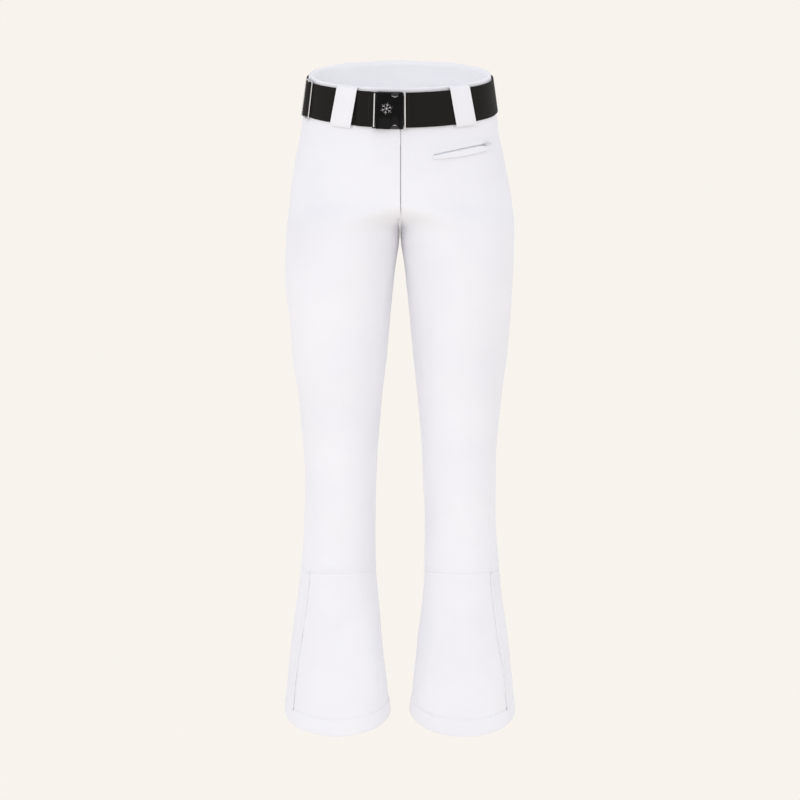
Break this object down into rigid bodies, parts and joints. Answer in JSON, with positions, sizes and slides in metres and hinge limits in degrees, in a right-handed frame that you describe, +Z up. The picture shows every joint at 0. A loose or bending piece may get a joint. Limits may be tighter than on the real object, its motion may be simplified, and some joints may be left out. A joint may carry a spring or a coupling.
{
  "type": "ski pants",
  "caption": "Fitted high-waisted ski pants with flared lower legs, a wide elastic belt with a release buckle, belt loops, a zip fly, a zip pocket and inner snow gaiters.",
  "frame": {"origin": "centre of the waist opening, level with the top edge of the waistband at the side seams", "axes": "+Z up, +X to the wearer's left, -Y to the front"},
  "size_m": [0.3642, 0.2294, 1.0458],
  "materials": {
    "softshell": "smooth bonded stretch softshell, matte white",
    "lining": "light white lining cloth",
    "white_elastic": "ribbed white elastic with a silicone grip",
    "black_webbing": "black ribbed elastic webbing",
    "zip_tape": "woven white zip tape",
    "black_gloss": "polished black lacquer",
    "black_plastic": "moulded black acetal",
    "dark_chrome": "polished dark chrome",
    "zip_teeth": "white moulded",
    "zip_metal": "bright nickel"
  },
  "bodies": {
    "pants": {"back_panel_left": "softshell", "back_panel_right": "softshell", "belt_fold_right": "black_webbing", "belt_loop_back_left": "softshell", "belt_loop_back_middle": "softshell", "belt_loop_back_right": "softshell", "belt_loop_front_left": "softshell", "belt_loop_front_right": "softshell", "belt_strap": "black_webbing", "buckle_back_plate": "black_plastic", "buckle_bar_right": "dark_chrome", "buckle_ears": "dark_chrome", "buckle_housing": "black_gloss", "flare_back_left": "softshell", "flare_back_right": "softshell", "flare_front_left": "softshell", "flare_front_right": "softshell", "fly_bottom_stop": "zip_teeth", "fly_shield": "lining", "fly_top_stops": "zip_teeth", "fly_zip_tape_left": "zip_tape", "fly_zip_tape_right": "zip_tape", "fly_zip_teeth_left": "zip_teeth", "fly_zip_teeth_right": "zip_teeth", "front_panel_left": "softshell", "front_panel_right": "softshell", "gaiter_elastic_left": "white_elastic", "gaiter_elastic_right": "white_elastic", "hem_facing_left": "lining", "hem_facing_right": "lining", "pocket_bag": "lining", "pocket_welt": "softshell", "pocket_zip_stops": "zip_teeth", "pocket_zip_tapes": "zip_tape", "pocket_zip_teeth": "zip_teeth", "seam_strip_left": "softshell", "seam_strip_right": "softshell", "snow_gaiter_left": "lining", "snow_gaiter_right": "lining", "waist_bar": "dark_chrome", "waist_hook": "dark_chrome", "waistband_back": "softshell", "waistband_front_left": "softshell", "waistband_front_right": "softshell", "waistband_lining": "lining"},
    "fly_slider": {"fly_zip_slider": "zip_metal"},
    "fly_pull": {"fly_zip_pull": "zip_metal"},
    "pocket_slider": {"pocket_zip_slider": "zip_metal"},
    "pocket_pull": {"pocket_zip_pull": "zip_metal"},
    "plug": {"buckle_plug": "black_plastic", "buckle_bar_left": "dark_chrome", "belt_strap_front": "black_webbing", "belt_fold_left": "black_webbing"},
    "prong_top": {"buckle_prong_top": "black_plastic"},
    "prong_bottom": {"buckle_prong_bottom": "black_plastic"},
    "adjuster": {"adjuster_frame": "dark_chrome", "adjuster_webbing": "black_webbing"}
  },
  "joints": [
    {"name": "fly_zip_slide", "type": "slide", "parent": "pants", "child": "fly_slider", "axis": [0, -0.0695, -0.9976], "range_m": [0, 0.088]},
    {"name": "fly_zip_pull", "type": "hinge", "parent": "fly_slider", "child": "fly_pull", "pos_m": [0, -0.07986, -0.08721], "axis": [-1, 0, 0], "range_deg": [0, 10]},
    {"name": "pocket_zip_slide", "type": "hinge", "parent": "pants", "child": "pocket_slider", "pos_m": [0.01579, 0.08735, -0.146], "axis": [-0.2257, 0.1051, 0.9685], "range_deg": [-26.9, 0]},
    {"name": "pocket_zip_pull", "type": "hinge", "parent": "pocket_slider", "child": "pocket_pull", "pos_m": [0.13001, -0.04653, -0.10485], "axis": [0.2257, -0.1051, -0.9685], "range_deg": [0, 85]},
    {"name": "buckle_release", "type": "hinge", "parent": "pants", "child": "plug", "pos_m": [0, 0.08736, 0.01937], "axis": [0, -0.2164, 0.9763], "range_deg": [0, 7.6]},
    {"name": "prong_top_press", "type": "slide", "parent": "plug", "child": "prong_top", "axis": [0, 0.2164, -0.9763], "range_m": [0, 0.0018], "stiffness_N_per_m": 300},
    {"name": "prong_bottom_press", "type": "slide", "parent": "plug", "child": "prong_bottom", "axis": [0, -0.2164, 0.9763], "range_m": [0, 0.0018], "stiffness_N_per_m": 300},
    {"name": "adjuster_slide", "type": "hinge", "parent": "pants", "child": "adjuster", "pos_m": [-0.073, 0, 0], "axis": [0, -0.2164, 0.9763], "range_deg": [-24, 12]}
  ]
}
